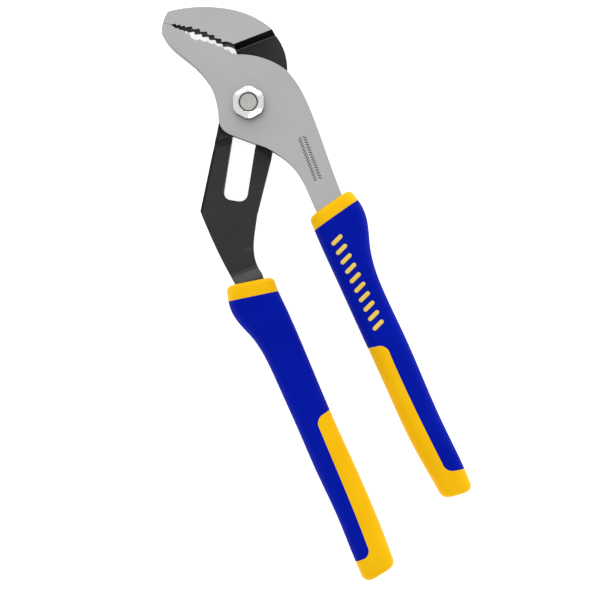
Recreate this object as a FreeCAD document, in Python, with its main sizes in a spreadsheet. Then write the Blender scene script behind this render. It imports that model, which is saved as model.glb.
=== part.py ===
"""Groove-joint pliers, 10 inch class, as a parametric FreeCAD document.

The tool lies flat with its jaws closed. The origin is on the pivot's axis, on the rear face of the pivot
bolt's head. +Y points to the jaws, +Z to the front, where the nut is, and +X to the right. Sizes are in mm.
"""

import FreeCAD, Part
import math
import os

import Sketcher

DIMENSIONS = {
    # The two levers, stacked about the tool's middle plane
    "plate_floor": 3.6,
    "plate_thickness": 11.2,
    "web_front": 9.15,
    "lever_rear": 9.25,
    "mid_plane": 9.2,
    "shank_floor": 6.2,
    "shank_thickness": 6.0,
    "web_chamfer": 1.2,
    # The slot in the rear lever, and the tongue and grooves that lock it
    "slot_angle": 30.0,
    "slot_width": 10.5,
    "slot_top": 5.4,
    "slot_foot": 41.3,
    "slot_corner": 3.5,
    "groove_pitch": 5.8,
    "groove_count": 7,
    "tongue_radius": 19.5,
    "tongue_width": 2.4,
    "tongue_height": 1.6,
    "tongue_play": 0.15,
    # Where the tongue's and the grooves' arcs start and end, in degrees from across the slot
    "tongue_start": 84.0,
    "tongue_end": 128.0,
    "groove_start": 38.0,
    "groove_end": 142.0,
    # The pivot
    "head_radius": 8.5,
    "head_height": 3.55,
    "head_edge": 0.8,
    "neck_width": 10.2,
    "neck_corner": 3.2,
    "neck_height": 5.65,
    "journal_radius": 5.0,
    "bore_radius": 5.05,
    "journal_height": 5.6,
    "thread_radius": 4.0,
    "thread_height": 6.3,
    "thread_chamfer": 0.7,
    "nut_seat": 14.85,
    "nut_base": 5.2,
    "nut_taper_height": 1.3,
    "nut_taper": 57.0,
    "nut_flats": 13.0,
    "nut_round": 6.85,
    "nut_turn": 69.0,
    "nut_countersink": 0.4,
    # The grips
    "cover_wall": 2.2,
    "grip_roundness": 0.8,
    "shoulder_round": 2.4,
    "end_round": 3.0,
}

# How the outer shape of each grip runs: distance below the pivot, left edge, right edge, half thickness.
# The first and last stations lie beyond the slanted planes that end the grip.
RIGHT_GRIP = [
    (46, 6.2, 28.0, 8.5),
    (54, 6.7, 28.9, 9.1),
    (61, 7.0, 29.9, 9.12),
    (68, 7.3, 28.8, 8.9),
    (76, 7.8, 26.6, 8.4),
    (87, 8.5, 25.3, 8.0),
    (100, 9.3, 25.7, 7.9),
    (118, 10.4, 27.0, 7.9),
    (138, 11.6, 27.8, 7.8),
    (158, 12.9, 28.8, 7.6),
    (173, 14.9, 30.1, 7.3),
    (182, 16.3, 30.6, 7.0),
    (192, 17.9, 31.0, 6.6),
]
LEFT_GRIP = [
    (64, -36.6, -16.0, 8.3),
    (72, -37.8, -16.4, 9.0),
    (79, -38.9, -16.9, 9.12),
    (86, -37.6, -16.4, 9.0),
    (94, -34.5, -15.9, 8.4),
    (104, -32.4, -15.5, 8.0),
    (118, -31.4, -15.1, 7.9),
    (138, -30.3, -14.4, 7.9),
    (158, -29.4, -13.2, 7.7),
    (178, -28.0, -12.2, 7.3),
    (194, -27.7, -11.9, 7.0),
    (203, -27.5, -12.0, 6.8),
    (212, -27.4, -12.3, 6.6),
]

# How Sketcher names a circle's centre and the sketch's own origin point
CENTRE = 3
ORIGIN = (-1, 1)
UP = FreeCAD.Vector(0, 0, 1)

doc = FreeCAD.newDocument("groove_joint_pliers")
sheet = doc.addObject("Spreadsheet::Sheet", "Sizes")
for row, (alias, number) in enumerate(DIMENSIONS.items(), start=1):
    sheet.set(f"A{row}", alias)
    sheet.set(f"B{row}", str(number))
    sheet.setAlias(f"B{row}", alias)
doc.recompute()


def size(alias):
    """A driving dimension as the sheet holds it."""
    return float(sheet.get(alias))


def point(x, y):
    return FreeCAD.Vector(x, y, 0)


def along_slot(up, left=0.0):
    """The point this far up the slot's centre line from the pivot and this far to its left."""
    angle = math.radians(size("slot_angle"))
    return point(
        up * math.sin(angle) - left * math.cos(angle),
        up * math.cos(angle) + left * math.sin(angle),
    )


class Outline:
    """A closed run of lines, arcs and smooth curves in a sketch's plane."""

    def __init__(self, start):
        self.corners = [start]
        self.edges = []

    def add(self, edge, end):
        self.edges.append(edge)
        self.corners.append(end)

    def line(self, *ends):
        for end in ends:
            self.add(Part.LineSegment(self.corners[-1], end), end)

    def arc(self, through, end):
        self.add(Part.Arc(self.corners[-1], through, end), end)

    def curve(self, *points):
        spline = Part.BSplineCurve()
        spline.interpolate([self.corners[-1], *points])
        self.add(spline, points[-1])

    def teeth(self, path, count, depth, rake):
        """Saw teeth whose tips lie on the path. The roots lie to the right of it, and rake places them."""
        first, last = path.FirstParameter, path.LastParameter
        for tooth in range(count):
            root = first + (last - first) * (tooth + rake) / count
            tip = first + (last - first) * (tooth + 1) / count
            tangent = path.tangent(root)[0]
            inward = point(tangent.y, -tangent.x)
            self.line(path.value(root) + inward * depth, path.value(tip))

    def close(self):
        self.line(self.corners[0])

    def draw(self, sketch):
        """Adds the run to the sketch and ties each edge's end to the next one's start."""
        first = sketch.GeometryCount
        sketch.addGeometry(self.edges, False)
        count = len(self.edges)
        for step in range(count):
            here, following = first + step, first + (step + 1) % count
            corner = self.corners[step + 1]
            ends = (end_at(sketch, here, corner), end_at(sketch, following, corner))
            sketch.addConstraint(Sketcher.Constraint("Coincident", here, ends[0], following, ends[1]))


def end_at(sketch, edge, place):
    """Which end of a sketch's edge lies at a place: 1 for its start, 2 for its end."""
    return min((1, 2), key=lambda end: sketch.getPoint(edge, end).distanceToPoint(place))


def new_body(label):
    body = doc.addObject("PartDesign::Body", label)
    body.Label = label
    return body


def new_sketch(body, name, role="XY_Plane", height=None):
    """A sketch on one of the body's own origin planes, raised by the named dimension."""
    sketch = body.newObject("Sketcher::SketchObject", name)
    plane = next(item for item in body.Origin.OriginFeatures if item.Role == role)
    sketch.AttachmentSupport = [(plane, "")]
    sketch.MapMode = "FlatFace"
    if height:
        sketch.setExpression("AttachmentOffset.Base.z", f"Sizes.{height}")
    return sketch


def turn_to_slot(sketch):
    """Turns a sketch about the pivot so that its Y axis runs up the slot."""
    height = sketch.AttachmentOffset.Base
    sketch.AttachmentOffset = FreeCAD.Placement(height, FreeCAD.Rotation(UP, -size("slot_angle")))


def pad(body, sketch, name, length, downwards=False):
    feature = body.newObject("PartDesign::Pad", name)
    feature.Profile = sketch
    feature.setExpression("Length", f"Sizes.{length}")
    feature.Reversed = downwards
    doc.recompute()
    return feature


def cut(body, feature):
    """Recomputes after a cutting feature is set up, and fails if it took nothing away."""
    before = body.Shape.Volume
    doc.recompute()
    if not body.Shape.Volume < before - 0.01:
        raise RuntimeError(f"{feature.Name} cuts nothing")
    return feature


def pocket(body, sketch, name, upwards=False, both_ways=False):
    """Cuts the sketch through everything, downwards unless told otherwise."""
    feature = body.newObject("PartDesign::Pocket", name)
    feature.Profile = sketch
    feature.Type = "ThroughAll"
    feature.Reversed = upwards
    if both_ways:
        feature.SideType = "Symmetric"
    return cut(body, feature)


def circle(sketch, radius):
    """A circle about the sketch's origin whose radius is bound to the named dimension."""
    index = sketch.addGeometry(Part.Circle(point(0, 0), UP, size(radius)), False)
    sketch.addConstraint(Sketcher.Constraint("Coincident", index, CENTRE, *ORIGIN))
    constraint = sketch.addConstraint(Sketcher.Constraint("Radius", index, size(radius)))
    sketch.setExpression(f"Constraints[{constraint}]", f"Sizes.{radius}")


def rounded_box(half_width, low, high, corner, centre=0.0):
    """A rectangle with round corners, as an outline."""
    left, right = centre - half_width, centre + half_width
    inset = corner * (1 - math.sqrt(0.5))
    shape = Outline(point(left + corner, low))
    shape.line(point(right - corner, low))
    shape.arc(point(right - inset, low + inset), point(right, low + corner))
    shape.line(point(right, high - corner))
    shape.arc(point(right - inset, high - inset), point(right - corner, high))
    shape.line(point(left + corner, high))
    shape.arc(point(left + inset, high - inset), point(left, high - corner))
    shape.line(point(left, low + corner))
    shape.arc(point(left + inset, low + inset), point(left + corner, low))
    return shape


def ring_sector(radius, width, start, end):
    """A band of a ring about the pivot, between two angles in degrees from the sketch's X axis."""
    inner, outer = radius - width / 2, radius + width / 2

    def at(reach, degrees):
        return point(reach * math.cos(math.radians(degrees)), reach * math.sin(math.radians(degrees)))

    middle = (start + end) / 2
    shape = Outline(at(outer, start))
    shape.arc(at(outer, middle), at(outer, end))
    shape.line(at(inner, end))
    shape.arc(at(inner, middle), at(inner, start))
    shape.close()
    return shape


def long_edges(shape, height, shortest, keep=lambda middle: True):
    """Names of the edges that lie level at a height, are long enough and whose middles pass the test."""
    names = []
    for number, edge in enumerate(shape.Edges, start=1):
        box = edge.BoundBox
        level = abs(box.ZMin - height) < 0.001 and abs(box.ZMax - height) < 0.001
        middle = edge.valueAt((edge.FirstParameter + edge.LastParameter) / 2)
        if level and edge.Length > shortest and keep(middle):
            names.append(f"Edge{number}")
    return names


def chamfer(body, name, amount, edges):
    feature = body.newObject("PartDesign::Chamfer", name)
    feature.Base = (feature.BaseFeature, edges)
    feature.setExpression("Size", f"Sizes.{amount}")
    return cut(body, feature)


# Where the closed jaws meet, from the tip inwards, and half the gap between them there
SEAM_TIP = (-21.9, 45.3)
SEAM_END = (-19.2, 43.75)
SEAM_HALF_GAP = 0.05

# The step beside the lower jaw, which the web passes: how far left of the slot's centre line its wall stands,
# and how far up the slot that wall starts and ends
STEP_LEFT = 13.3
STEP_FOOT = 10.45
STEP_HEAD = 50.45

# Heights in the plan at which the levers bend back to the tool's middle plane, on their rear and front faces
FRONT_LEVER_BEND = {"rear": (-44, -52), "front": (-54, -60)}
REAR_LEVER_BEND = (-65, -70)
BELOW_THE_TOOL = -215


def front_lever():
    """The bright lever: lower jaw, boss and shank in one forging, with the tongue on its hidden face."""
    body = new_body("front_lever")
    top = size("plate_floor") + size("plate_thickness")
    blank = new_sketch(body, "front_blank", height="plate_floor")
    lever_outline().draw(blank)
    pad(body, blank, "front_forging", "plate_thickness")

    # Behind the boss the plate is cut to half its thickness, so that the rear lever's web passes. The step
    # beside the lower jaw runs parallel to the slot.
    step_foot = along_slot(STEP_FOOT, left=STEP_LEFT)
    step_head = along_slot(STEP_HEAD, left=STEP_LEFT)
    seat = new_sketch(body, "web_seat_outline", height="lever_rear")
    area = Outline(point(-40, -44))
    area.line(point(-40, step_foot.y), step_foot, step_head, point(40, step_head.y), point(40, -44))
    area.close()
    area.draw(seat)
    pocket(body, seat, "web_seat")

    joggle = new_sketch(body, "front_joggle_outline", role="YZ_Plane")
    shank_bottom = size("shank_floor")
    shank_top = shank_bottom + size("shank_thickness")
    rear_from, rear_to = FRONT_LEVER_BEND["rear"]
    front_from, front_to = FRONT_LEVER_BEND["front"]
    shank_profile(
        joggle,
        rear=[(rear_from, size("lever_rear")), (rear_to, shank_bottom)],
        front=[(front_from, top), (front_to, shank_top)],
    )
    pocket(body, joggle, "front_joggle", both_ways=True)

    bore = new_sketch(body, "bore_outline", height="plate_floor")
    circle(bore, "bore_radius")
    pocket(body, bore, "pivot_bore", upwards=True)

    tongue = new_sketch(body, "tongue_outline", height="lever_rear")
    turn_to_slot(tongue)
    span = (size("tongue_start"), size("tongue_end"))
    ring_sector(size("tongue_radius"), size("tongue_width"), *span).draw(tongue)
    pad(body, tongue, "tongue", "tongue_height", downwards=True)
    return body


def lever_outline():
    """The front lever in plan, from the jaw's tip down its left side and back up the right."""
    shape = Outline(point(SEAM_TIP[0], SEAM_TIP[1] - SEAM_HALF_GAP))
    shape.curve(point(-23.4, 43), point(-24, 40.8))
    shape.curve(point(-21.8, 34.3), point(-17.3, 26.6), point(-13.7, 18.5), point(-12.4, 11), point(-13, 3.5),
                point(-14.6, -2.2))
    shape.arc(point(-14.2, -6.2), point(-12, -9.4))
    shape.line(point(0.3, -20.1))
    shape.curve(point(4.9, -26), point(8.1, -32), point(9.7, -38.5), point(10.2, -45))
    shape.line(point(10.8, -54), point(12.4, -82), point(14.8, -130), point(19, -172))
    shape.arc(point(23.2, -175.2), point(26.3, -171))
    shape.line(point(24.2, -130), point(21.9, -82), point(23.2, -50))
    shape.curve(point(23.4, -32), point(23.7, -15), point(22.9, -2), point(20.2, 7.6))
    shape.arc(point(12.75, 16.1), point(2.7, 21.6))
    coarse = Part.Arc(point(2.0, 22.4), point(-5.6, 30.4), point(-12.7, 35.0))
    shape.line(coarse.value(coarse.FirstParameter))
    shape.teeth(coarse, count=6, depth=-0.7, rake=0.25)
    fine = Part.LineSegment(point(-13.0, 37.4), point(-18.6, 43.0))
    shape.line(fine.value(fine.FirstParameter))
    shape.teeth(fine, count=3, depth=-0.5, rake=0.25)
    shape.line(point(SEAM_END[0], SEAM_END[1] - SEAM_HALF_GAP))
    shape.close()
    return shape


def shank_profile(sketch, rear, front):
    """Draws, in side view, what is cut from a lever's two faces. The last height of each runs on down."""
    below, above = size("plate_floor") - 1, size("plate_floor") + size("plate_thickness") + 1
    for corners, outside in ((rear, below), (front, above)):
        first_y, last_z = corners[0][0], corners[-1][1]
        area = Outline(point(first_y, outside))
        area.line(*(point(y, z) for y, z in corners))
        area.line(point(BELOW_THE_TOOL, last_z), point(BELOW_THE_TOOL, outside))
        area.close()
        area.draw(sketch)


def rear_lever():
    """The black lever: upper jaw at full thickness, thin slotted web with seven grooves, kinked shank."""
    body = new_body("rear_lever")
    top = size("plate_floor") + size("plate_thickness")
    blank = new_sketch(body, "rear_blank", height="plate_floor")
    web_outline().draw(blank)
    pad(body, blank, "rear_forging", "plate_thickness")

    # In side view the web's front is cut back below the upper jaw, and both faces again at the shank.
    profile = new_sketch(body, "web_profile", role="YZ_Plane")
    web_front = size("web_front")
    shank_bottom = size("shank_floor")
    shank_top = shank_bottom + size("shank_thickness")
    bend_from, bend_to = REAR_LEVER_BEND
    shank_profile(
        profile,
        rear=[(bend_from, size("plate_floor")), (bend_to, shank_bottom)],
        front=[(26.2, top), (24.5, web_front), (bend_from, web_front), (bend_to, shank_top)],
    )
    pocket(body, profile, "web_front_cut", both_ways=True)

    left_edge = long_edges(body.Shape, web_front, 30, lambda middle: middle.x < -20 and middle.y > -30)
    chamfer(body, "web_left_edge", "web_chamfer", left_edge)

    slot = new_sketch(body, "slot_outline", height="web_front")
    turn_to_slot(slot)
    rounded_box(size("slot_width") / 2, -size("slot_foot"), size("slot_top"), size("slot_corner")).draw(slot)
    pocket(body, slot, "slot")

    groove = new_sketch(body, "groove_outline", height="web_front")
    turn_to_slot(groove)
    width = size("tongue_width") + 2 * size("tongue_play")
    ring_sector(size("tongue_radius"), width, size("groove_start"), size("groove_end")).draw(groove)
    first = body.newObject("PartDesign::Pocket", "groove")
    first.Profile = groove
    first.setExpression("Length", "Sizes.tongue_height + Sizes.tongue_play")
    cut(body, first)

    row = body.newObject("PartDesign::LinearPattern", "groove_row")
    row.Originals = [first]
    row.Direction = (groove, ["V_Axis"])
    row.Reversed = True
    row.Mode = "Spacing"
    row.setExpression("Offset", "Sizes.groove_pitch")
    row.setExpression("Occurrences", "Sizes.groove_count")
    body.Tip = row
    cut(body, row)
    return body


def web_outline():
    """The rear lever in plan, from the jaw's tip along its teeth, down its left side and up its right."""
    shape = Outline(point(SEAM_TIP[0], SEAM_TIP[1] + SEAM_HALF_GAP))
    shape.line(point(SEAM_END[0], SEAM_END[1] + SEAM_HALF_GAP))
    fine = Part.LineSegment(point(-18.5, 43.4), point(-13.6, 40.2))
    shape.line(fine.value(fine.FirstParameter))
    shape.teeth(fine, count=3, depth=-0.7, rake=0.75)
    coarse = Part.Arc(point(-13.6, 40.2), point(-7.0, 35.0), point(-1.4, 28.8))
    shape.teeth(coarse, count=5, depth=-1.1, rake=0.75)
    shape.arc(point(1.1, 28), point(3.1, 26))
    shape.line(point(3.1, 22.6), along_slot(8.0, left=11.9), along_slot(-10.8, left=12.0))
    shape.line(along_slot(-48.1, left=13.9))
    shape.curve(point(-35.8, -44), point(-34.7, -59), point(-33.3, -69))
    shape.line(point(-31.4, -82), point(-28.6, -104), point(-27, -140), point(-23.6, -190))
    shape.arc(point(-19.8, -193.2), point(-16.9, -189))
    shape.line(point(-18.8, -140), point(-19.9, -104), point(-20.8, -82), point(-20.8, -69))
    shape.curve(point(-21.5, -63), point(-19.4, -55.5), point(-13.9, -45.2))
    shape.line(point(0.3, -25), point(20.9, 8.8))
    shape.curve(point(22.3, 14), point(22.5, 19), point(20.5, 26.6))
    shape.curve(point(15, 34.2), point(8, 40), point(0, 44.3), point(-10, 47.8), point(-18, 49.2))
    shape.arc(point(-20.2, 47.5), point(SEAM_TIP[0], SEAM_TIP[1] + SEAM_HALF_GAP))
    return shape


def pivot_bolt():
    """Round head behind, squared neck in the slot, journal in the front lever's bore, threaded end."""
    body = new_body("pivot_bolt")
    head = new_sketch(body, "head_outline")
    circle(head, "head_radius")
    pad(body, head, "head", "head_height")
    chamfer(body, "head_rim", "head_edge", long_edges(body.Shape, 0.0, 1.0))

    neck = new_sketch(body, "neck_outline", height="head_height")
    turn_to_slot(neck)
    half = size("neck_width") / 2
    rounded_box(half, -half, half, size("neck_corner")).draw(neck)
    pad(body, neck, "neck", "neck_height")

    journal = new_sketch(body, "journal_outline")
    journal.setExpression("AttachmentOffset.Base.z", "Sizes.head_height + Sizes.neck_height")
    circle(journal, "journal_radius")
    pad(body, journal, "journal", "journal_height")

    thread = new_sketch(body, "thread_outline")
    thread.setExpression(
        "AttachmentOffset.Base.z", "Sizes.head_height + Sizes.neck_height + Sizes.journal_height"
    )
    circle(thread, "thread_radius")
    pad(body, thread, "threaded_end", "thread_height")
    tip = size("head_height") + size("neck_height") + size("journal_height") + size("thread_height")
    chamfer(body, "thread_end_chamfer", "thread_chamfer", long_edges(body.Shape, tip, 1.0))
    return body


def pivot_nut():
    """A hex nut: straight at its base, its six faces leaning inwards above, its corners turned off."""
    body = new_body("pivot_nut")
    hexagon = new_sketch(body, "hexagon", height="nut_seat")
    reach = size("nut_flats") / 2 / math.cos(math.radians(30))
    nut_outline(reach).draw(hexagon)
    pad(body, hexagon, "nut_straight_part", "nut_base")

    upper = new_sketch(body, "upper_hexagon")
    upper.setExpression("AttachmentOffset.Base.z", "Sizes.nut_seat + Sizes.nut_base")
    nut_outline(reach).draw(upper)
    taper = pad(body, upper, "nut_tapered_part", "nut_taper_height")
    taper.setExpression("TaperAngle", "-Sizes.nut_taper")
    doc.recompute()

    ring = new_sketch(body, "corner_cut", height="nut_seat")
    circle(ring, "nut_round")
    outer = ring.addGeometry(Part.Circle(point(0, 0), UP, 2 * reach), False)
    ring.addConstraint(Sketcher.Constraint("Coincident", outer, CENTRE, *ORIGIN))
    pocket(body, ring, "turned_corners", upwards=True)

    thread = new_sketch(body, "nut_thread_outline", height="nut_seat")
    circle(thread, "thread_radius")
    pocket(body, thread, "nut_thread", upwards=True)
    top = size("nut_seat") + size("nut_base") + size("nut_taper_height")
    rim = long_edges(body.Shape, top, 6 * size("thread_radius"))
    chamfer(body, "thread_mouth", "nut_countersink", rim)
    return body


def nut_outline(reach):
    """The nut's hexagon, with one corner at the angle that nut_turn gives."""
    corners = []
    for number in range(6):
        angle = math.radians(size("nut_turn") + 60 * number)
        corners.append(point(reach * math.cos(angle), reach * math.sin(angle)))
    shape = Outline(corners[0])
    shape.line(*corners[1:])
    shape.close()
    return shape


def grip_form(label, stations, inset=0.0):
    """The smooth outer shape of a grip, or the shape that is inset from it, lofted down its length."""
    body = new_body(label)
    sketches = []
    for number, (below, left, right, half_thickness) in enumerate(stations):
        section = new_sketch(body, f"{label}_section_{number}", role="XZ_Plane")
        section.AttachmentOffset = FreeCAD.Placement(UP * below, FreeCAD.Rotation())
        half_width = (right - left) / 2 - inset
        half = half_thickness - inset
        middle = size("mid_plane")
        corner = size("grip_roundness") * min(half, half_width)
        outline = rounded_box(half_width, middle - half, middle + half, corner, centre=(left + right) / 2)
        outline.draw(section)
        sketches.append(section)
    loft = body.newObject("PartDesign::AdditiveLoft", f"{label}_loft")
    loft.Profile = sketches[0]
    loft.Sections = sketches[1:]
    doc.recompute()
    return body


def prism(label, outline):
    """A block with the given plan that is taller than the tool."""
    body = new_body(label)
    sketch = new_sketch(body, f"{label}_outline", height="mid_plane")
    outline.draw(sketch)
    feature = body.newObject("PartDesign::Pad", f"{label}_pad")
    feature.Profile = sketch
    feature.SideType = "Symmetric"
    feature.setExpression("Length", "4 * Sizes.mid_plane")
    doc.recompute()
    return body


def combine(kind, name, base, tool):
    """A Part boolean of two objects."""
    result = doc.addObject(f"Part::{kind}", name)
    result.Base = base
    result.Tool = tool
    result.Label = name
    doc.recompute()
    return result


def round_ends(name, blank):
    """Rounds the rims of a grip's two flat ends: its shoulder, which faces up, and its tip."""
    rims = []
    for face in blank.Shape.Faces:
        facing = face.normalAt(0, 0)
        if not isinstance(face.Surface, Part.Plane) or abs(facing.y) < 0.9:
            continue
        radius = size("shoulder_round") if facing.y > 0 else size("end_round")
        for number, edge in enumerate(blank.Shape.Edges, start=1):
            if any(edge.isSame(side) for side in face.Edges):
                rims.append((number, radius, radius))
    rounding = doc.addObject("Part::Fillet", name)
    rounding.Base = blank
    rounding.Edges = rims
    doc.recompute()
    if not rounding.Shape.Volume < blank.Shape.Volume:
        raise RuntimeError(f"{name} rounds nothing")
    return rounding


def grip(side, stations, length, blue_area, shank):
    """The two shots of one grip: the soft cover over its area, and the core that is all the rest."""
    form = grip_form(f"{side}_form", stations)
    inner = grip_form(f"{side}_inner", stations[:-1], inset=size("cover_wall"))
    blank = combine("Common", f"{side}_grip_blank", form, prism(f"{side}_length", length))
    whole = round_ends(f"{side}_grip_shape", blank)
    patch = combine("Common", f"{side}_cover_patch", whole, prism(f"{side}_cover_area", blue_area))
    cover = combine("Cut", f"{side}_grip_cover", patch, inner)
    around = combine("Cut", f"{side}_core_blank", whole, cover)
    core = combine("Cut", f"{side}_grip_core", around, shank)
    return cover, core


def between_lines(shoulder, tip):
    """A strip across the tool. Each slanted end has its height 40 mm left and 40 mm right of the pivot."""
    shape = Outline(point(-40, shoulder[0]))
    shape.line(point(-40, tip[0]), point(40, tip[1]), point(40, shoulder[1]))
    shape.close()
    return shape


def right_cover_area():
    """The blue area of the right grip: an inlay on the inner side and the tip are left to the core."""
    shape = Outline(point(0, -62.1))
    shape.line(point(0, -114.4), point(14.4, -116.1))
    shape.arc(point(17.1, -117.8), point(17.9, -121.3))
    shape.curve(point(19.1, -142), point(20.9, -162), point(22.0, -172.5))
    shape.arc(point(22.9, -175.6), point(25.6, -177.3))
    shape.line(point(36, -179.9), point(36, -53.0))
    shape.close()
    return shape


def left_cover_area():
    """The blue area of the left grip, laid out in the same way."""
    shape = Outline(point(-42, -74.9))
    shape.line(point(-42, -200.4), point(-23.2, -198.6))
    shape.arc(point(-21.1, -197.1), point(-20.4, -194.2))
    shape.curve(point(-20.4, -178), point(-21.0, -156), point(-21.5, -139.6))
    shape.arc(point(-20.8, -136.7), point(-18.2, -134.9))
    shape.line(point(-10, -133.6), point(-10, -80.1))
    shape.close()
    return shape


front = front_lever()
rear = rear_lever()
bolt = pivot_bolt()
nut = pivot_nut()
right_length = between_lines(shoulder=(-66.3, -46.1), tip=(-181.7, -189.7))
left_length = between_lines(shoulder=(-68.6, -82.1), tip=(-211.9, -197.0))
right_cover, right_core = grip("right", RIGHT_GRIP, right_length, right_cover_area(), front)
left_cover, left_core = grip("left", LEFT_GRIP, left_length, left_cover_area(), rear)
pieces = [front, rear, bolt, nut, right_core, right_cover, left_core, left_cover]

doc.recompute()
for item in doc.Objects:
    if "Invalid" in item.State or "Error" in item.State:
        raise RuntimeError(f"{item.Name} did not compute: {item.State}")
for piece in pieces:
    shape = piece.Shape
    if shape.isNull() or not shape.isValid() or len(shape.Solids) != 1:
        raise RuntimeError(f"{piece.Label} is not one valid solid: {len(shape.Solids)}")

os.makedirs("parts", exist_ok=True)
for piece in pieces:
    piece.Shape.exportStep(f"parts/{piece.Label}.step")
    print(piece.Label, round(piece.Shape.Volume), piece.Shape.BoundBox)
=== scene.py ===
"""Groove-joint pliers lying on a pale floor, seen from straight above."""

import math

import bmesh
import bpy
from mathutils import Matrix, Vector
from mathutils.bvhtree import BVHTree


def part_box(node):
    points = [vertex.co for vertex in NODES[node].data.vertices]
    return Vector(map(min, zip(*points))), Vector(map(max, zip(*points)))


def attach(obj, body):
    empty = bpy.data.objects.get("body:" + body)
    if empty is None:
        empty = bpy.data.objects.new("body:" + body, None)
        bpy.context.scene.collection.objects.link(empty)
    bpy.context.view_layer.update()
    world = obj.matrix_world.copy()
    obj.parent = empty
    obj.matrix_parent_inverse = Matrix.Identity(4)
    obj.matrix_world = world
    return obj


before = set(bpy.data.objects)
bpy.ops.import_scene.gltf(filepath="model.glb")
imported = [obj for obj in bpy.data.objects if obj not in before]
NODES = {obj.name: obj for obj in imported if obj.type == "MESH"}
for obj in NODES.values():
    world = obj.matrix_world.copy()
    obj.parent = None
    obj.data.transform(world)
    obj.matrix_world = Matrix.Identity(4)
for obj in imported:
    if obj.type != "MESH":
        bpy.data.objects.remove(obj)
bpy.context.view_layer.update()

MM = 0.001
SCENE = bpy.context.scene
FRONT_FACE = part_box("front_lever")[1].z
GRIP_LOW, GRIP_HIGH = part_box("right_grip_cover")
GRIP_MIDDLE = (GRIP_LOW.z + GRIP_HIGH.z) / 2

# The web's front face lies half-way through the rear lever, within a tenth of a millimetre
WEB_FRONT = (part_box("rear_lever")[0].z + FRONT_FACE) / 2

# Heights on the rear lever: the foot of the step behind its jaw, and the bend in its shank
STEP_FOOT = 24.4 * MM
BEND = -66 * MM

# The stretch of the front lever's edge, below the boss and left of its shank, that is painted near black as
# shade
PAINTED_SHADE_TOP = -7 * MM
PAINTED_SHADE_FOOT = -26 * MM
PAINTED_SHADE_RIGHT = 8 * MM

# The share of a face's normal that points up: above FLAT for a flat face, below STEEP for a wall
FLAT = 0.9
STEEP = 0.3

# The way from the lower jaw to the upper one, which is also up in the picture
MOUTH_UP = Vector((0.36, 0.93, 0))

BEVEL_ANGLE = math.radians(32)
WELD_GAP = 0.001 * MM

# A height well above the tool, from which details are dropped onto it
LOOKOUT = 1

CAMERA_REACH = 550 * MM
CAMERA_PLACE = (-9.6 * MM, -85.9 * MM)
VIEW_WIDTH = 258.6 * MM
SENSOR = 36
ROLL = math.radians(-21)

FLOOR_REACH = 2.5
FLOOR_GAP = 0.02 * MM
WORLD_LIGHT = 0.80


# ---- Material tools -------------------------------------------------------------------------------------

class Shader:
    """A material under construction, with its Principled BSDF and short calls for the nodes it needs."""

    def __init__(self, name):
        self.material = bpy.data.materials.new(name)
        self.material.use_nodes = True
        self.tree = self.material.node_tree
        self.surface = self.tree.nodes["Principled BSDF"]

    def add(self, kind, settings=None, **inputs):
        node = self.tree.nodes.new(kind)
        for key, value in (settings or {}).items():
            setattr(node, key, value)
        for key, value in inputs.items():
            self.feed(node, key.replace("_", " "), value)
        return node

    def feed(self, node, socket, value):
        """Links a socket, or sets it to a number. A socket is named, or numbered where names repeat."""
        target = node.inputs[int(socket)] if socket.isdigit() else node.inputs[socket]
        if isinstance(value, bpy.types.NodeSocket):
            self.tree.links.new(value, target)
        else:
            target.default_value = value

    def math(self, operation, first, second=0.0):
        node = self.add("ShaderNodeMath", {"operation": operation})
        self.feed(node, "0", first)
        self.feed(node, "1", second)
        return node.outputs[0]

    def between(self, value, low, high, new_low=0.0, new_high=1.0):
        """A smooth step from new_low to new_high as the value goes from low to high."""
        node = self.add("ShaderNodeMapRange", {"interpolation_type": "SMOOTHSTEP"})
        for key, number in zip("01234", (value, low, high, new_low, new_high)):
            self.feed(node, key, number)
        return node.outputs[0]

    def mix(self, factor, first, second):
        node = self.add("ShaderNodeMix", {"data_type": "RGBA"})
        self.feed(node, "0", factor)
        self.feed(node, "6", first)
        self.feed(node, "7", second)
        return node.outputs[2]

    def place(self, scale=(1, 1, 1), turn=0.0):
        """The surface point in millimetres, turned about Z and then stretched."""
        where = self.add("ShaderNodeTexCoord").outputs["Object"]
        turned = self.add("ShaderNodeMapping", Vector=where)
        turned.inputs["Scale"].default_value = (1 / MM, 1 / MM, 1 / MM)
        turned.inputs["Rotation"].default_value = (0, 0, turn)
        stretched = self.add("ShaderNodeVectorMath", {"operation": "MULTIPLY"})
        self.feed(stretched, "0", turned.outputs[0])
        self.feed(stretched, "1", scale)
        return stretched.outputs[0]

    def axes(self):
        """The surface point's three coordinates in millimetres."""
        node = self.add("ShaderNodeSeparateXYZ", Vector=self.place())
        return node.outputs["X"], node.outputs["Y"], node.outputs["Z"]

    def noise(self, where, scale, detail=3.0, roughness=0.5):
        node = self.add("ShaderNodeTexNoise", Vector=where, Scale=scale, Detail=detail, Roughness=roughness)
        return node.outputs["Fac"]

    def bump(self, height, depth, below=None):
        """Relief of this depth in millimetres where height goes from 0 to 1, on top of another relief."""
        node = self.add("ShaderNodeBump", Height=height, Distance=depth * MM)
        if below:
            self.feed(node, "Normal", below)
        return node.outputs[0]

    def worn_edges(self, low, high):
        """1 on sharp outer edges and 0 on flat and hollow places."""
        return self.between(self.add("ShaderNodeNewGeometry").outputs["Pointiness"], low, high)

    def finish(self, **inputs):
        for key, value in inputs.items():
            self.feed(self.surface, key.replace("_", " "), value)
        return self.material


def grey(value):
    return (value, value, value, 1)


# ---- Materials ------------------------------------------------------------------------------------------

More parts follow.
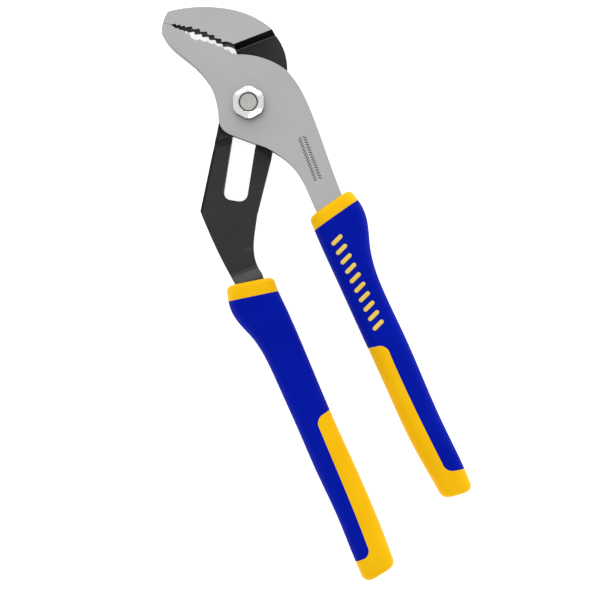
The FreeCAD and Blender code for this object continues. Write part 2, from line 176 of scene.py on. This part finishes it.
def ground_steel():
    """Satin ground faces: fine grinding lines across the tool, with slight changes in their polish."""
    s = Shader("ground_steel")
    lines = s.noise(s.place(scale=(0.06, 3.0, 1), turn=math.radians(12)), 3.0, detail=5, roughness=0.6)
    grain = s.noise(s.place(), 4.0, detail=3)
    polish = s.noise(s.place(), 0.05, detail=2)
    tone = s.math("ADD", s.math("MULTIPLY", lines, 0.8), s.math("MULTIPLY", polish, 0.2))
    colour = s.mix(s.between(tone, 0.3, 0.7), (0.50, 0.503, 0.51, 1), (0.56, 0.562, 0.567, 1))
    rough = s.between(s.math("ADD", lines, polish), 0.6, 1.4, 0.38, 0.48)
    relief = s.bump(lines, 0.004, s.bump(grain, 0.002))
    return s.finish(Base_Color=colour, Metallic=1.0, Roughness=rough, Normal=relief)


def forged_steel():
    """The bright lever's edges: darker, as trimmed from the forging, and painted near black below the boss
    as shade.
    """
    s = Shader("forged_steel")
    pits = s.noise(s.place(), 1.3, detail=5, roughness=0.6)
    trim = s.noise(s.place(scale=(1.6, 1.6, 0.1)), 2.0, detail=4)
    across, up, _ = s.axes()
    below_top = s.between(up, PAINTED_SHADE_TOP / MM, PAINTED_SHADE_TOP / MM - 1.0)
    above_foot = s.between(up, PAINTED_SHADE_FOOT / MM, PAINTED_SHADE_FOOT / MM + 2.0)
    left = s.between(across, PAINTED_SHADE_RIGHT / MM, PAINTED_SHADE_RIGHT / MM - 2.0)
    # Painted shade: the edge below the boss is painted near black, as if in shadow
    painted_shade = s.math("MULTIPLY", s.math("MULTIPLY", below_top, above_foot), left)
    colour = s.mix(s.between(trim, 0.35, 0.65), grey(0.11), grey(0.17))
    colour = s.mix(painted_shade, colour, grey(0.015))
    rough = s.between(pits, 0.3, 0.7, 0.36, 0.52)
    relief = s.bump(trim, 0.02, s.bump(pits, 0.02))
    return s.finish(Base_Color=colour, Metallic=1.0, Roughness=rough, Normal=relief)


def black_oxide():
    """Satin black with a fine sandy grain and lighter worn edges, a painted highlight along the foot of its
    step, and painted light from its bend down.
    """
    s = Shader("black_oxide")
    grain = s.noise(s.place(), 5.0, detail=3)
    cloud = s.noise(s.place(), 0.12, detail=3)
    colour = s.mix(s.between(cloud, 0.3, 0.7), grey(0.019), grey(0.023))
    rubbed = s.math("MULTIPLY", s.worn_edges(0.62, 0.72), s.between(cloud, 0.40, 0.60, 0.4, 1.0))
    colour = s.mix(rubbed, colour, grey(0.08))
    _, up, height = s.axes()
    # Painted highlight: a lighter line on the front along the foot of the step, as light catching the crease
    off_step = s.math("ABSOLUTE", s.math("SUBTRACT", up, STEP_FOOT / MM))
    on_front = s.between(height, WEB_FRONT / MM - 1.5, WEB_FRONT / MM - 0.5)
    step_highlight = s.math("MULTIPLY", on_front, s.between(off_step, 0.15, 0.60, 1.0, 0.0))
    colour = s.mix(step_highlight, colour, grey(0.10))
    # Painted light: lighter from the bend down, where the slope faces the key light
    colour = s.mix(s.between(up, BEND / MM, BEND / MM - 1.0), colour, grey(0.055))
    rough = s.between(s.math("ADD", grain, cloud), 0.7, 1.3, 0.44, 0.56)
    relief = s.bump(grain, 0.008)
    return s.finish(Base_Color=colour, Roughness=rough, Normal=relief, Specular_IOR_Level=0.3)


def shaded_black():
    """The walls and teeth of the upper jaw and the web's left bevel: the black finish painted far darker as
    shade, and matt.
    """
    s = Shader("shaded_black")
    grain = s.noise(s.place(), 4.0, detail=4)
    # Painted shade: far darker than the black finish, for walls that lie in shadow
    colour = s.mix(s.between(grain, 0.35, 0.65), grey(0.003), grey(0.006))
    return s.finish(Base_Color=colour, Roughness=0.62, Normal=s.bump(grain, 0.01), Specular_IOR_Level=0.12)


def bright_nickel():
    """Bright plating with faint turning marks."""
    s = Shader("bright_nickel")
    marks = s.noise(s.place(scale=(1, 1, 4)), 2.0, detail=4)
    colour = s.mix(s.between(marks, 0.3, 0.7), (0.84, 0.84, 0.85, 1), (0.90, 0.90, 0.90, 1))
    rough = s.between(marks, 0.3, 0.7, 0.14, 0.22)
    relief = s.bump(marks, 0.003)
    return s.finish(Base_Color=colour, Metallic=1.0, Roughness=rough, Normal=relief)


def shaded_plate():
    """The nut's side faces, painted dark as shade."""
    s = Shader("shaded_plate")
    cloud = s.noise(s.place(), 1.2, detail=4)
    # Painted shade: dark grey for walls that face away from the light
    colour = s.mix(s.between(cloud, 0.35, 0.65), grey(0.12), grey(0.145))
    rough = s.between(cloud, 0.3, 0.7, 0.30, 0.42)
    return s.finish(Base_Color=colour, Metallic=0.9, Roughness=rough, Normal=s.bump(cloud, 0.002))


def zinc_plate():
    """Dull plating over turned rings."""
    s = Shader("zinc_plate")
    reach = s.add("ShaderNodeVectorMath", {"operation": "LENGTH"})
    s.feed(reach, "0", s.place(scale=(1, 1, 0)))
    rings = s.math("SINE", s.math("MULTIPLY", reach.outputs["Value"], 2 * math.pi / 0.35))
    cloud = s.noise(s.place(), 0.9, detail=4)
    colour = s.mix(s.between(cloud, 0.3, 0.7), (0.52, 0.52, 0.49, 1), (0.62, 0.62, 0.60, 1))
    rough = s.between(cloud, 0.3, 0.7, 0.32, 0.44)
    relief = s.bump(rings, 0.003, s.bump(cloud, 0.01))
    return s.finish(Base_Color=colour, Metallic=1.0, Roughness=rough, Normal=relief)


def moulded(name, low, high, roughness, grain_depth, gloss):
    """Moulded grip material: spark-eroded mould grain, a parting line at mid height and faint drift."""
    s = Shader(name)
    grain = s.noise(s.place(), 2.6, detail=2)
    drift = s.noise(s.place(), 0.05, detail=2)
    height = s.axes()[2]
    off_line = s.math("ABSOLUTE", s.math("SUBTRACT", height, GRIP_MIDDLE / MM))
    line = s.between(off_line, 0.06, 0.20, 1.0, 0.0)
    colour = s.mix(s.between(drift, 0.35, 0.65), low, high)
    rough = s.between(s.math("ADD", grain, drift), 0.7, 1.3, roughness - 0.05, roughness + 0.06)
    relief = s.bump(line, 0.06, s.bump(grain, grain_depth))
    return s.finish(Base_Color=colour, Roughness=rough, Normal=relief, Specular_IOR_Level=gloss)


def etching():
    """Laser-etched marks: dark, matt and a little uneven."""
    s = Shader("etching")
    speckle = s.noise(s.place(), 5.0, detail=3)
    colour = s.mix(s.between(speckle, 0.35, 0.65), grey(0.06), grey(0.13))
    relief = s.bump(speckle, 0.02)
    return s.finish(Base_Color=colour, Metallic=0.6, Roughness=0.6, Normal=relief)


def pale_floor():
    """A white surface that glows a little, as a light table does, so that gaps in the tool stay bright."""
    s = Shader("pale_floor")
    cloud = s.noise(s.place(), 0.02, detail=2)
    colour = s.mix(cloud, grey(0.80), grey(0.82))
    return s.finish(Base_Color=colour, Roughness=0.9, Emission_Color=grey(1.0), Emission_Strength=0.75)


# ---- Pieces ---------------------------------------------------------------------------------------------

def dress(node, *materials, edge=0.25, pick=None):
    """Gives a CAD node its materials and rounds its sharp edges. pick chooses a slot for each face."""
    obj = NODES[node]
    obj.data.materials.clear()
    for material in materials:
        obj.data.materials.append(material)
    if pick:
        for face in obj.data.polygons:
            face.material_index = pick(face.center, face.normal)
    join = obj.modifiers.new("join_faces", "WELD")
    join.merge_threshold = WELD_GAP
    soften = obj.modifiers.new("soften_edges", "BEVEL")
    soften.width = edge * MM
    soften.segments = 3
    soften.limit_method = "ANGLE"
    soften.angle_limit = BEVEL_ANGLE
    soften.harden_normals = True
    return obj


def lever_finish(centre, normal):
    """Ground on the front and the back, forged on the edges."""
    return 0 if abs(normal.z) > FLAT else 1


def nut_plate_or_shade(centre, normal):
    """Bright on the top and on whatever slopes towards it, painted shade on the sides."""
    return 0 if normal.z > STEEP else 1


def rear_finish_or_shade(centre, normal):
    """Bright on the jaw's ground face, painted shade in the mouth and on the web's left bevel, black
    elsewhere.
    """
    if normal.z > FLAT and centre.z > FRONT_FACE - 0.05 * MM:
        return 0
    wall = abs(normal.z) < STEEP
    # Walls in the mouth and the web's left bevel take the painted shade
    in_mouth = wall and centre.y > STEP_FOOT and normal.dot(MOUTH_UP) < -0.2
    bevel = STEEP < normal.z < FLAT and normal.x < -0.4
    return 2 if in_mouth or bevel else 1


def surface_of(node):
    """A search tree over a CAD node's faces, for laying details on them."""
    data = NODES[node].data
    points = [vertex.co.copy() for vertex in data.vertices]
    return BVHTree.FromPolygons(points, [tuple(face.vertices) for face in data.polygons])


# How far each ring of a bar is from its centre line, and how high it rises, both as shares
BAR_PROFILE = [(1.0, 0.0), (1.0, 0.35), (0.94, 0.70), (0.82, 0.90), (0.62, 0.98), (0.35, 1.0), (0.0, 1.0)]


def lay_bar(mesh, surface, centre, turn, length, width, height, sink):
    """Adds a bar with round ends that lies on a surface under it. Its underside is sunk into the surface."""
    around, side_steps = 8, 10
    radius = width / 2
    half = length / 2 - radius
    stations = [(half, angle) for angle in steps(-90, 90, around)]
    stations += [(x, 90) for x in steps(half, -half, side_steps)[1:-1]]
    stations += [(-half, angle) for angle in steps(90, 270, around)]
    stations += [(x, 270) for x in steps(-half, half, side_steps)[1:-1]]
    rings = []
    for share, rise in BAR_PROFILE:
        ring = []
        for x, degrees in stations:
            angle = math.radians(degrees)
            flat = Vector((x + radius * share * math.cos(angle), radius * share * math.sin(angle), 0))
            spot = centre + Matrix.Rotation(turn, 3, "Z") @ flat
            ground = surface.ray_cast(Vector((spot.x, spot.y, LOOKOUT)), Vector((0, 0, -1)))[0]
            ring.append(mesh.verts.new((spot.x, spot.y, ground.z - sink + (height + sink) * rise)))
        rings.append(ring)
    mesh.faces.new(reversed(rings[0]))
    for lower, upper in zip(rings, rings[1:]):
        for here in range(len(stations)):
            there = (here + 1) % len(stations)
            mesh.faces.new((lower[here], lower[there], upper[there], upper[here]))
    bmesh.ops.remove_doubles(mesh, verts=rings[-1], dist=WELD_GAP)


def steps(first, last, count):
    return [first + (last - first) * number / count for number in range(count + 1)]


def new_piece(name, mesh, material, body):
    """Turns a bmesh into an object that rides on a body and takes its finish from a material slot."""
    data = bpy.data.meshes.new(name)
    mesh.normal_update()
    mesh.to_mesh(data)
    mesh.free()
    data.materials.append(material)
    data.shade_smooth()
    obj = bpy.data.objects.new(name, data)
    SCENE.collection.objects.link(obj)
    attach(obj, body)
    return obj


def grip_bars(material):
    """A row of raised slanting bars on the front of the right grip, below its shoulder."""
    surface = surface_of("right_grip_cover")
    mesh = bmesh.new()
    first = Vector((GRIP_LOW.x + 7.2 * MM, GRIP_HIGH.y - 13.0 * MM, 0))
    last = Vector((GRIP_LOW.x + 10.6 * MM, GRIP_HIGH.y - 53.0 * MM, 0))
    gaps = 9
    slant = math.radians(24)
    for share in steps(0, 1, gaps):
        lay_bar(
            mesh, surface, first.lerp(last, share), slant,
            length=6.0 * MM, width=1.9 * MM, height=0.45 * MM, sink=0.4 * MM,
        )
    return new_piece("right_grip_bars", mesh, material, "front_lever_body")


def shank_marks(material):
    """Two rows of small etched ticks on the bright shank, slanting towards each other."""
    surface = surface_of("front_lever")
    mesh = bmesh.new()
    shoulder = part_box("right_grip_core")[1].y
    row_top = shoulder + 28.0 * MM
    row_foot = shoulder + 9.5 * MM
    gaps = 16
    slant = math.radians(35)
    for across, turn in ((14.9 * MM, slant), (17.1 * MM, -slant)):
        for up in steps(row_top, row_foot, gaps):
            lay_bar(
                mesh, surface, Vector((across, up, 0)), turn,
                length=1.8 * MM, width=0.55 * MM, height=0.015 * MM, sink=0.05 * MM,
            )
    return new_piece("shank_marks", mesh, material, "front_lever_body")


# ---- Stage ----------------------------------------------------------------------------------------------

def floor():
    mesh = bmesh.new()
    bmesh.ops.create_grid(mesh, x_segments=2, y_segments=2, size=FLOOR_REACH)
    data = bpy.data.meshes.new("floor")
    mesh.to_mesh(data)
    mesh.free()
    obj = bpy.data.objects.new("floor", data)
    obj.location.z = -FLOOR_GAP
    data.materials.append(pale_floor())
    SCENE.collection.objects.link(obj)


def softbox(name, bearing, tilt, reach, width, height, power):
    """A soft light. Its bearing is clockwise from image up and its tilt from overhead, in degrees."""
    bearing, tilt = math.radians(bearing) - ROLL, math.radians(tilt)
    out = Vector((math.sin(bearing) * math.sin(tilt), math.cos(bearing) * math.sin(tilt), math.cos(tilt)))
    light = bpy.data.lights.new(name, "AREA")
    light.shape = "RECTANGLE"
    light.size = width
    light.size_y = height
    light.energy = power
    obj = bpy.data.objects.new(name, light)
    obj.location = Vector((*CAMERA_PLACE, 0)) + out * reach
    obj.rotation_euler = (-out).to_track_quat("-Z", "Y").to_euler()
    SCENE.collection.objects.link(obj)


def studio():
    """An even white room, with a key light beyond the jaws and a weak fill light beyond the right grip."""
    world = bpy.data.worlds.new("studio")
    world.use_nodes = True
    world.node_tree.nodes["Background"].inputs["Color"].default_value = grey(1.0)
    world.node_tree.nodes["Background"].inputs["Strength"].default_value = WORLD_LIGHT
    SCENE.world = world
    softbox("key", bearing=0, tilt=62, reach=1.4, width=1.5, height=0.4, power=7)
    softbox("fill", bearing=150, tilt=60, reach=1.2, width=0.5, height=0.5, power=1.1)
    SCENE.view_settings.view_transform = "Standard"


def camera():
    """Looks straight down on the middle of the tool, with the jaws up and to the left."""
    data = bpy.data.cameras.new("camera")
    data.sensor_width = SENSOR
    data.lens = SENSOR * CAMERA_REACH / VIEW_WIDTH
    obj = bpy.data.objects.new("camera", data)
    obj.location = (*CAMERA_PLACE, GRIP_MIDDLE + CAMERA_REACH)
    obj.rotation_euler = (0, 0, ROLL)
    SCENE.collection.objects.link(obj)
    SCENE.camera = obj


steel, forged, black = ground_steel(), forged_steel(), black_oxide()
blue = moulded("blue_rubber", (0.0004, 0.0075, 0.34, 1), (0.0005, 0.0095, 0.37, 1), 0.55, 0.015, 0.03)
yellow = moulded("yellow_plastic", (0.93, 0.51, 0.002, 1), (0.96, 0.54, 0.003, 1), 0.45, 0.010, 0.06)
dress("front_lever", steel, forged, pick=lever_finish)
dress("rear_lever", steel, black, shaded_black(), pick=rear_finish_or_shade)
dress("pivot_nut", bright_nickel(), shaded_plate(), edge=0.2, pick=nut_plate_or_shade)
dress("pivot_bolt", zinc_plate(), edge=0.2)
for side in ("right", "left"):
    dress(f"{side}_grip_core", yellow, edge=0.2)
    dress(f"{side}_grip_cover", blue, edge=0.3)
grip_bars(moulded("pale_bars", (0.84, 0.58, 0.09, 1), (0.88, 0.62, 0.11, 1), 0.45, 0.010, 0.15))
shank_marks(etching())

floor()
studio()
camera()
